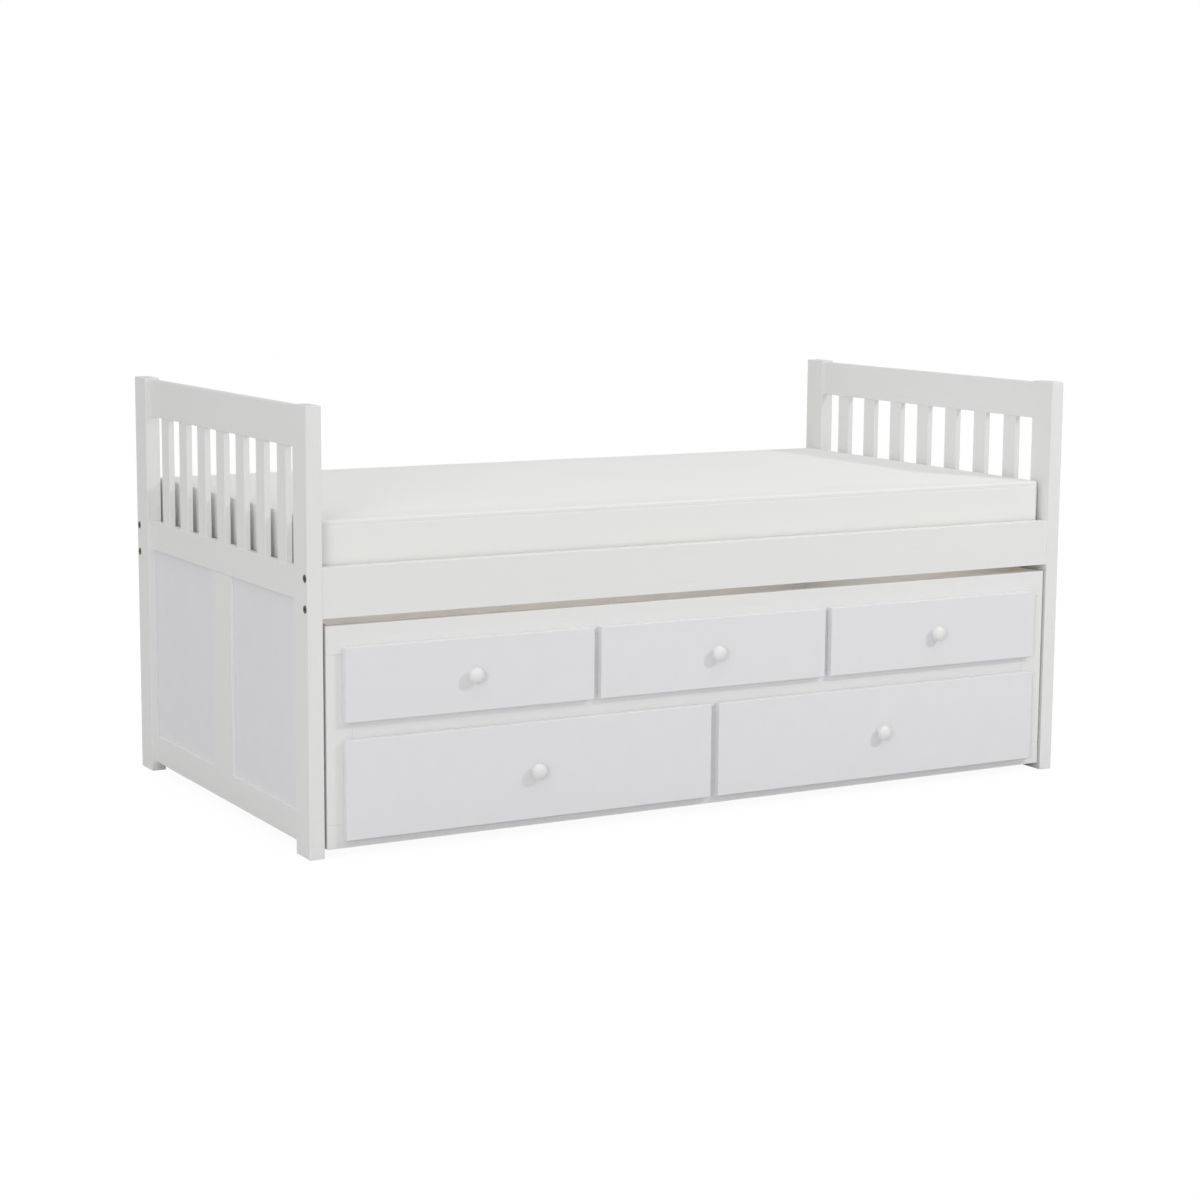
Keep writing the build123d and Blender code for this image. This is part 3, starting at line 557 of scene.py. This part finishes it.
def grow(name, seedMesh, tree, given, body):  # runs a tree once and keeps the plain mesh
    holder = bpy.data.objects.new(name + "_seed", seedMesh)
    scene.collection.objects.link(holder)
    rows = holder.modifiers.new("rows", "NODES")
    rows.node_group = tree
    for item in tree.interface.items_tree:
        if item.in_out == "INPUT" and item.name in given:
            rows[item.identifier] = given[item.name]
    mesh = bpy.data.meshes.new_from_object(holder.evaluated_get(bpy.context.evaluated_depsgraph_get()))
    mesh.name = name
    bpy.data.objects.remove(holder)
    piece = bpy.data.objects.new(name, mesh)
    scene.collection.objects.link(piece)
    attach(piece, body)
    return piece


def makeFastenerTree():
    tree, given = newTree("Fastener rows", {"Head": "Object", "Width": "Float", "Height": "Float",
                                            "Loose Turn": "Float", "Turn Seed": "Int", "Finish": "Material"})
    facing = addNode(tree, "GeometryNodeInputNamedAttribute", {"Name": "facing"}, data_type="FLOAT_VECTOR")
    head = addNode(tree, "GeometryNodeObjectInfo", {"Object": given["Head"]})
    aim = addNode(tree, "FunctionNodeAlignRotationToVector", {"Vector": facing}, axis="Z")
    size = addNode(tree, "ShaderNodeCombineXYZ", {0: given["Width"], 1: given["Width"], 2: given["Height"]})
    placed = addNode(tree, "GeometryNodeInstanceOnPoints", {
        "Points": given["Geometry"], "Rotation": aim, "Scale": size, "Instance": head.outputs["Geometry"]})
    turned = addNode(tree, "FunctionNodeRandomValue", {3: given["Loose Turn"], "Seed": given["Turn Seed"]},
                     data_type="FLOAT")
    about = addNode(tree, "ShaderNodeCombineXYZ", {2: turned.outputs[1]})
    spun = addNode(tree, "GeometryNodeRotateInstances", {"Instances": placed, "Rotation": about})
    return endTree(tree, spun, given["Finish"])


fastenerTree = makeFastenerTree()


def pointMesh(name, places):  # places are (point, way it faces)
    mesh = bpy.data.meshes.new(name)
    mesh.from_pydata([point for point, way in places], [], [])
    facing = mesh.attributes.new("facing", "FLOAT_VECTOR", "POINT")
    facing.data.foreach_set("vector", [part for point, way in places for part in way])
    return mesh


def template(name, shape):  # a head of unit radius and unit height, taken away again at the end
    mesh = bpy.data.meshes.new(name)
    bmesh.ops.recalc_face_normals(shape, faces=shape.faces)
    shape.to_mesh(mesh)
    shape.free()
    piece = bpy.data.objects.new(name, mesh)
    scene.collection.objects.link(piece)
    return piece


def ring(shape, points):
    return [shape.verts.new(p) for p in points]


def crossHead():  # a low domed head with a cross recess
    shape = bmesh.new()
    sides, arm, half = 16, 0.52, 0.13
    brimLevel, crownRadius, recessLevel, recessTaper = 0.45, 0.72, 0.35, 0.8
    turns = [2 * math.pi * k / sides for k in range(sides)]
    foot = ring(shape, [(math.cos(t), math.sin(t), 0) for t in turns])
    brim = ring(shape, [(math.cos(t), math.sin(t), brimLevel) for t in turns])
    crown = ring(shape, [(crownRadius * math.cos(t), crownRadius * math.sin(t), 1.0) for t in turns])
    quarter = [(arm, -half), (arm, half), (half, half)]
    cross = []
    for quadrant in range(4):
        c, s = [(1, 0), (0, 1), (-1, 0), (0, -1)][quadrant]
        cross += [(c * x - s * y, s * x + c * y) for x, y in quarter]
    slotTop = ring(shape, [(x, y, 1.0) for x, y in cross])
    slotFoot = ring(shape, [(recessTaper * x, recessTaper * y, recessLevel) for x, y in cross])
    for low, high in ((foot, brim), (brim, crown), (slotTop, slotFoot)):
        for k in range(len(low)):
            after = (k + 1) % len(low)
            shape.faces.new((low[k], low[after], high[after], high[k]))
    shape.faces.new(foot[::-1])
    shape.faces.new(slotFoot)
    shape.edges.ensure_lookup_table()
    rims = [e for e in shape.edges if len(e.link_faces) == 1]
    bmesh.ops.triangle_fill(shape, edges=rims, use_beauty=True)
    return shape


def disc(sides, bevel):  # a plain pad with a softened rim
    shape = bmesh.new()
    turns = [2 * math.pi * k / sides for k in range(sides)]
    levels = [(1.0, 0.0), (1.0, 1.0 - bevel), (1.0 - bevel * 0.3, 1.0)]
    rings = [ring(shape, [(r * math.cos(t), r * math.sin(t), z) for t in turns]) for r, z in levels]
    for low, high in zip(rings, rings[1:]):
        for k in range(sides):
            shape.faces.new((low[k], low[(k + 1) % sides], high[(k + 1) % sides], high[k]))
    shape.faces.new(rings[0][::-1])
    shape.faces.new(rings[-1])
    return shape


def stapleCrown():  # the bar of a staple with its two shoulders
    shape = bmesh.new()
    profile = [(-1.0, 0.0), (-1.0, 0.7), (-0.88, 1.0), (0.88, 1.0), (1.0, 0.7), (1.0, 0.0)]
    sides = [ring(shape, [(x, y, z) for x, z in profile]) for y in (-0.11, 0.11)]
    for k in range(len(profile)):
        after = (k + 1) % len(profile)
        shape.faces.new((sides[0][k], sides[0][after], sides[1][after], sides[1][k]))
    shape.faces.new(sides[0])
    shape.faces.new(sides[1][::-1])
    return shape


screwHead = template("screw_head_template", crossHead())
padShape = template("pad_template", disc(20, 0.4))
stapleShape = template("staple_template", stapleCrown())


def spans(name, at):  # the separate stretches that a node's boards take up along one axis
    mesh = nodes[name].data
    faces = [[mesh.vertices[v].co[at] for v in face.vertices] for face in mesh.polygons]
    reach = sorted((min(face), max(face)) for face in faces)
    found = [list(reach[0])]
    for start, end in reach[1:]:
        if start <= found[-1][1] + touching:
            found[-1][1] = max(found[-1][1], end)
        else:
            found.append([start, end])
    return found


def evenly(start, end, count):
    return [start + (end - start) * k / (count - 1) for k in range(count)]


fasteners = {
    "screw": (0.0040, 0.0012), "cam": (0.0075, 0.0008),  # radius and height of each head
    "knobScrew": (0.0048, 0.0024), "backScrew": (0.0034, 0.0006), "turnSeed": 7,
    "deckInset": 0.010, "plateHeight": 0.0595, "plateHoles": (0.0195, 0.029),
    "sideRows": 6, "sideInset": 0.03, "dividerRows": 3, "dividerFoot": 0.07, "dividerTop": 0.05,
    "backRow": 9, "backInset": 0.12, "ledger": 0.025, "ledgerRow": 12, "ledgerInset": 0.06,
    "camDepth": 0.034, "camFoot": 0.045, "camTop": 0.035, "backScrewInset": 0.025,
}
plusX, plusY, plusZ = Vector((1, 0, 0)), Vector((0, 1, 0)), Vector((0, 0, 1))


def screws(name, body, places, kind="screw"):
    radius, height = fasteners[kind]
    given = {"Head": screwHead, "Width": radius, "Height": height, "Loose Turn": 2 * math.pi,
             "Turn Seed": fasteners["turnSeed"], "Finish": zinc}
    return grow(name, pointMesh(name, places), fastenerTree, given, body)


def deckScrews():  # one screw at each end of every trundle slat
    low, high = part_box("trundle_slats")
    inset = fasteners["deckInset"]
    middles = [(a + b) / 2 for a, b in spans("trundle_slats", 0)]
    return [(Vector((x, y, high.z)), plusZ) for x in middles for y in (low.y + inset, high.y - inset)]


def backScrews():  # round the back panel, into the sides, the divider and the rear slat ledger
    look = fasteners
    low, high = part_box("trundle_back")
    sideLow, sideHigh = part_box("trundle_side_left")
    halfBoard = (sideHigh.x - sideLow.x) / 2
    ledgerLow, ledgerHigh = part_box("trundle_ledgers")
    dividerLow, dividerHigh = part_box("trundle_divider")
    sideLevels = evenly(low.z + look["sideInset"], high.z - look["sideInset"], look["sideRows"])
    places = [(x, z) for x in (low.x + halfBoard, high.x - halfBoard) for z in sideLevels]
    foot, top = dividerLow.z + look["dividerFoot"], dividerHigh.z - look["dividerTop"]
    places += [(0.0, z) for z in evenly(foot, top, look["dividerRows"])]
    row = evenly(low.x + look["backInset"], high.x - look["backInset"], look["backRow"])
    places += [(x, (ledgerLow.z + ledgerHigh.z) / 2) for x in row]
    return [(Vector((x, high.y, z)), plusY) for x, z in places]


def casterScrews():  # four under each caster plate
    places = []
    acrossHole, alongHole = fasteners["plateHoles"]
    for name in [n for n in nodes if n.startswith("wheel_")]:
        low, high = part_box(name)
        centre = (low + high) / 2
        places += [(Vector((centre.x + dx, centre.y + dy, fasteners["plateHeight"])), -plusZ)
                   for dx in (-acrossHole, acrossHole) for dy in (-alongHole, alongHole)]
    return places


def bedLedgerScrews():  # through the two bed ledgers into the side rails
    low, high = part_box("slat_ledgers")
    thick = fasteners["ledger"]
    height = (low.z + high.z) / 2
    inset = fasteners["ledgerInset"]
    across = evenly(low.x + inset, high.x - inset, fasteners["ledgerRow"])
    return [(Vector((x, low.y + thick, height)), plusY) for x in across] + \
           [(Vector((x, high.y - thick, height)), -plusY) for x in across]


screws("trundle_deck_screws", "trundle", deckScrews())
screws("trundle_back_screws", "trundle", backScrews())
screws("caster_plate_screws", "trundle", casterScrews())
screws("bed_ledger_screws", "bed_frame", bedLedgerScrews())

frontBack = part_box("false_front_left")[1].y
knobLow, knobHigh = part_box("false_front_knobs")
knobLevel = (knobLow.z + knobHigh.z) / 2
knobBacks = [(Vector(((a + b) / 2, frontBack, knobLevel)), plusY) for a, b in spans("false_front_knobs", 0)]
screws("false_front_knob_screws", "trundle", knobBacks, "knobScrew")

for side in ("left", "right"):
    body = side + "_drawer"
    low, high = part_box(body + "_sides")
    frontLow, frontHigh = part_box(body + "_front")
    knobLow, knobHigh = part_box(body + "_knob")
    backLow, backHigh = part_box(body + "_back")
    camLevels = (low.z + fasteners["camFoot"], high.z - fasteners["camTop"])
    cams = [(Vector((x, low.y + fasteners["camDepth"], z)), way)
            for x, way in ((backLow.x, plusX), (backHigh.x, -plusX)) for z in camLevels]
    screws(body + "_cam_locks", body, cams, "cam")
    middle = (knobLow + knobHigh) / 2
    screws(body + "_knob_screw", body, [(Vector((middle.x, frontHigh.y, middle.z)), plusY)], "knobScrew")
    backLevels = (low.z + fasteners["backScrewInset"], high.z - fasteners["backScrewInset"])
    corners = [(Vector((x, (backLow.y + backHigh.y) / 2, z)), way)
               for x, way in ((low.x, -plusX), (high.x, plusX)) for z in backLevels]
    screws(body + "_back_screws", body, corners, "backScrew")
print("screws set")


# felt pads behind the drawer fronts

felting = {
    "fibre": "#CFCCC4", "fuzz": "#EDEBE4", "roughness": 0.95, "specular": 0.1, "sheen": 0.2,
    "fibreScale": 900.0, "fibreDepth": 0.0001,
    "padRadius": 0.0055, "padHeight": 0.00045, "sideInset": 0.010, "footInset": 0.020, "topInset": 0.0055,
}


def needledFelt():  # pressed fibre: matt, mottled warm white
    look = felting
    finish, tree, surface, here = newFinish("NeedledFelt", {
        "Roughness": look["roughness"], "Specular IOR Level": look["specular"],
        "Sheen Weight": look["sheen"]})
    fibre = addNode(tree, "ShaderNodeTexNoise", {"Vector": here, "Scale": look["fibreScale"], "Detail": 4.0})
    tint = addNode(tree, "ShaderNodeMix", {0: fibre, 6: colour(look["fibre"]), 7: colour(look["fuzz"])},
                   data_type="RGBA")
    relief = addNode(tree, "ShaderNodeBump", {"Distance": look["fibreDepth"], "Height": fibre})
    feed(tree, surface, {"Base Color": tint.outputs[2], "Normal": relief})
    return finish


felt = needledFelt()
for side in ("left", "right"):
    body = side + "_drawer"
    low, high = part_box(body + "_front")
    inset = felting["sideInset"]
    padPlaces = [(Vector((x, high.y, z)), plusY) for x in (low.x + inset, high.x - inset)
                 for z in (low.z + felting["footInset"], high.z - felting["topInset"])]
    grow(body + "_felt_pads", pointMesh("pads", padPlaces), fastenerTree,
         {"Head": padShape, "Width": felting["padRadius"], "Height": felting["padHeight"], "Loose Turn": 0.0,
          "Turn Seed": fasteners["turnSeed"], "Finish": felt}, body)
print("felt pads set")


# woven tapes that keep the bed slats apart, stapled to their undersides

tape = {
    "width": 0.025, "thickness": 0.0009, "sag": 0.0025, "rows": (-0.27, 0.02, 0.31),
    # the darker of the two tape colours is painted shade between the threads
    "between": "#BDB8AC", "thread": "#E6E2D8", "roughness": 0.6, "sheen": 0.15,
    "threadPitch": 0.0022, "threadDepth": 0.0003,
    "stapleShift": 0.012, "stapleReach": 0.0055, "stapleHeight": 0.0005, "stapleTurn": 0.3, "stapleSeed": 3,
}


def wovenTape():  # polypropylene webbing: off-white, a plain weave with painted shade between the threads and a dull plastic sheen
    look = tape
    finish, tree, surface, here = newFinish("WovenPolypropyleneTape", {
        "Roughness": look["roughness"], "Sheen Weight": look["sheen"]})
    threads = {"Vector": here, "Scale": math.pi / 10 / look["threadPitch"]}
    warp = addNode(tree, "ShaderNodeTexWave", threads, bands_direction="X").outputs["Fac"]
    weft = addNode(tree, "ShaderNodeTexWave", threads, bands_direction="Y").outputs["Fac"]
    weave = addNode(tree, "ShaderNodeMath", {0: warp, 1: weft}, operation="MULTIPLY")
    # painted shade: where warp and weft are low the colour goes to the darker shade between the threads
    tint = addNode(tree, "ShaderNodeMix", {0: weave, 6: colour(look["between"]), 7: colour(look["thread"])},
                   data_type="RGBA")
    relief = addNode(tree, "ShaderNodeBump", {"Distance": look["threadDepth"], "Height": weave})
    feed(tree, surface, {"Base Color": tint.outputs[2], "Normal": relief})
    return finish


def tapeShape(line, look):  # a flat band along each row, dipping a little between slats
    shape = bmesh.new()
    half = look["width"] / 2
    for y in look["rows"]:
        sections = []
        for x, z in line:
            under = z - look["thickness"]
            band = [(x, y - half, z), (x, y + half, z), (x, y + half, under), (x, y - half, under)]
            sections.append(ring(shape, band))
        for one, two in zip(sections, sections[1:]):
            for k in range(4):
                shape.faces.new((one[k], one[(k + 1) % 4], two[(k + 1) % 4], two[k]))
        shape.faces.new(sections[0][::-1])
        shape.faces.new(sections[-1])
    bmesh.ops.recalc_face_normals(shape, faces=shape.faces)
    return shape


slatSpans = spans("bed_slats", 0)
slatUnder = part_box("bed_slats")[0].z
tapeLine = []
for (start, end), following in zip(slatSpans, slatSpans[1:] + [None]):
    tapeLine += [(start, slatUnder), (end, slatUnder)]
    if following:
        gap = following[0] - end
        tapeLine += [(end + gap * t, slatUnder - tape["sag"] * math.sin(math.pi * t))
                     for t in (0.2, 0.4, 0.6, 0.8)]
newPiece("bed_slat_tapes", tapeShape(tapeLine, tape), wovenTape(), "bed_frame", smooth=False)
shifts = (-tape["stapleShift"], tape["stapleShift"])
staplePlaces = [(Vector(((a + b) / 2 + shift, y, slatUnder - tape["thickness"])), -plusZ)
                for a, b in slatSpans for y in tape["rows"] for shift in shifts]
grow("bed_slat_staples", pointMesh("staples", staplePlaces), fastenerTree,
     {"Head": stapleShape, "Width": tape["stapleReach"], "Height": tape["stapleHeight"],
      "Loose Turn": tape["stapleTurn"], "Turn Seed": tape["stapleSeed"], "Finish": zinc},
     "bed_frame")
for used in (screwHead, padShape, stapleShape):
    bpy.data.objects.remove(used)
print("slat tapes stapled")


# caster wheels, moulded with a ribbed web

wheel = {
    "ribs": 9, "ribThickness": 0.0016, "ribLap": 0.0005, "ribInset": 0.0015, "bore": 0.0041, "hub": 0.0085,
    "hubEase": 0.0008, "webInset": 0.0062, "webDraft": 0.0005, "rimInner": 0.0185, "rimEase": 0.0008,
    "rimInset": 0.0006, "treadInset": 0.0004, "tread": 0.0016, "sides": 64,
}


def makeRibTree():  # ribs between hub and rim, joined to the turned wheel
    tree, given = newTree("Wheel ribs", {"Count": "Int", "From": "Float", "To": "Float", "Depth": "Float",
                                         "Rib Thickness": "Float", "Centre": "Vector", "Finish": "Material"})
    reach = addNode(tree, "ShaderNodeMath", {0: given["To"], 1: given["From"]}, operation="SUBTRACT")
    both = addNode(tree, "ShaderNodeMath", {0: given["To"], 1: given["From"]}, operation="ADD")
    middle = addNode(tree, "ShaderNodeMath", {0: both, 1: 0.5}, operation="MULTIPLY")
    circle = addNode(tree, "GeometryNodeMeshCircle", {"Vertices": given["Count"], "Radius": middle})
    size = addNode(tree, "ShaderNodeCombineXYZ", {0: reach, 1: given["Rib Thickness"], 2: given["Depth"]})
    rib = addNode(tree, "GeometryNodeMeshCube", {"Size": size})
    outward = addNode(tree, "GeometryNodeInputPosition")
    aim = addNode(tree, "FunctionNodeAlignRotationToVector", {"Vector": outward}, axis="X")
    ribs = addNode(tree, "GeometryNodeInstanceOnPoints", {"Points": circle, "Instance": rib, "Rotation": aim})
    upright = addNode(tree, "GeometryNodeTransform", {
        "Geometry": ribs, "Translation": given["Centre"], "Rotation": (0, math.pi / 2, 0)})
    joined = addNode(tree, "GeometryNodeJoinGeometry")
    tree.links.new(upright.outputs[0], joined.inputs[0])
    tree.links.new(given["Geometry"], joined.inputs[0])
    return endTree(tree, joined, given["Finish"])


def turnedWheel(low, high, look):  # hub, thin web and round-shouldered rim, turned about X
    shape = bmesh.new()
    centre = (low + high) / 2
    half = (high.x - low.x) / 2
    radius = (high.z - low.z) / 2
    web = half - look["webInset"]
    shoulder = look["tread"]
    side = [(half, look["bore"]), (half, look["hub"] - look["hubEase"]),
            (half - look["hubEase"], look["hub"]), (web, look["hub"] + look["webDraft"]),
            (web, look["rimInner"]), (half - look["rimInset"], look["rimInner"] + look["rimEase"]),
            (half - look["treadInset"], radius - shoulder)]
    side += [(half - shoulder + shoulder * math.cos(t), radius - shoulder + shoulder * math.sin(t))
             for t in (math.pi / 8, math.pi / 4, 3 * math.pi / 8, math.pi / 2)]
    outline = side + [(-x, r) for x, r in side[::-1]]
    turns = [2 * math.pi * k / look["sides"] for k in range(look["sides"])]
    rings = []
    for x, r in outline:
        circle = [(centre.x + x, centre.y + r * math.cos(t), centre.z + r * math.sin(t)) for t in turns]
        rings.append(ring(shape, circle))
    for one, two in zip(rings, rings[1:] + rings[:1]):
        for k in range(look["sides"]):
            after = (k + 1) % look["sides"]
            shape.faces.new((one[k], one[after], two[after], two[k]))
    bmesh.ops.recalc_face_normals(shape, faces=shape.faces)
    return shape


ribTree = makeRibTree()
for name in [n for n in nodes if n.startswith("wheel_")]:
    low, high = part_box(name)
    seed = bpy.data.meshes.new(name + "_turned")
    shape = turnedWheel(low, high, wheel)
    shape.to_mesh(seed)
    shape.free()
    made = grow("caster_" + name, seed, ribTree, {
        "Count": wheel["ribs"], "Rib Thickness": wheel["ribThickness"],
        "From": wheel["hub"] - wheel["ribLap"], "To": wheel["rimInner"] + wheel["ribLap"],
        "Depth": high.x - low.x - 2 * wheel["ribInset"], "Centre": (low + high) / 2, "Finish": nylon},
        "caster_" + name)
    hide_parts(name)
print("caster wheels made")
